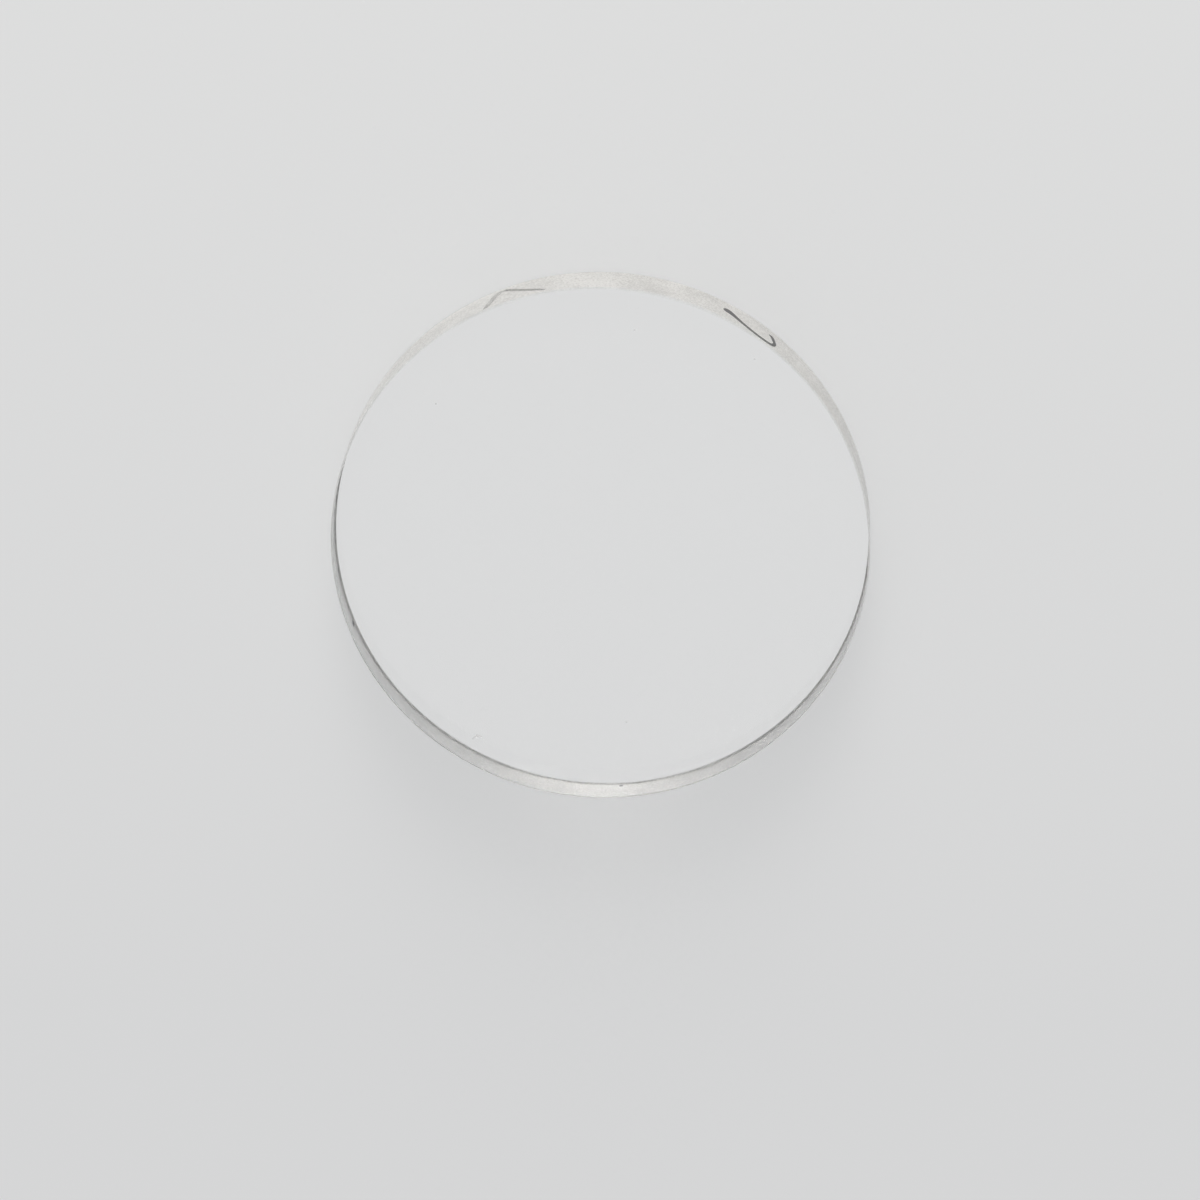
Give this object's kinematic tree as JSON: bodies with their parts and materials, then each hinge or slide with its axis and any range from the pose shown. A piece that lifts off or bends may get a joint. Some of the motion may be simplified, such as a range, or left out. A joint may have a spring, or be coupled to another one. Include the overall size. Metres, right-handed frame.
{
  "type": "optical window",
  "caption": "Round plane-parallel optical window of clear glass with polished faces, a fine-ground edge and small protective chamfers on both rims.",
  "frame": {"origin": "centre of the back polished face, on which the disc lies", "axes": "+Z along the optical axis, out of the front polished face; the pencil marks on the edge are on the -Y side"},
  "size_m": [0.0508, 0.0508, 0.0054],
  "materials": {
    "glass": "polished faces, fine-ground edge and chamfers"
  },
  "bodies": {
    "root": {"window": "glass"}
  },
  "joints": []
}
